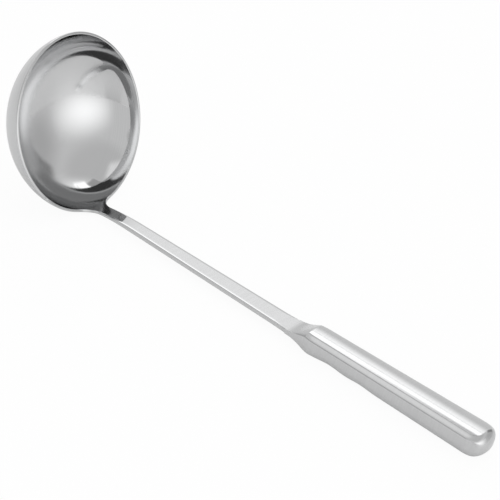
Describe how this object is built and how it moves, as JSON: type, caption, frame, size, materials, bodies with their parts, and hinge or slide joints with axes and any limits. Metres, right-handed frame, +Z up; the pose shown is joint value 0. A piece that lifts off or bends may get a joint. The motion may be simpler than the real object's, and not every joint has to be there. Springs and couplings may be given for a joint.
{
  "type": "ladle",
  "caption": "Stainless serving ladle with a deep round bowl drawn together with its flat tapered shank, set into a hollow welded handle.",
  "frame": {"origin": "middle of the ladle's footprint, on the table it lies on", "axes": "+X from the bowl towards the handle's end, +Z up from the table, +Y across the handle"},
  "size_m": [0.3022, 0.0934, 0.0856],
  "materials": {
    "polished_steel": "polished, with a fine grain",
    "satin_steel": "satin, brushed across the handle",
    "ground_weld": "weld ground flush and brushed"
  },
  "bodies": {
    "root": {"bowl_and_shank": "polished_steel", "handle_upper_shell": "satin_steel", "handle_lower_shell": "satin_steel", "handle_seam_weld": "ground_weld", "handle_mouth_weld": "ground_weld"}
  },
  "joints": []
}
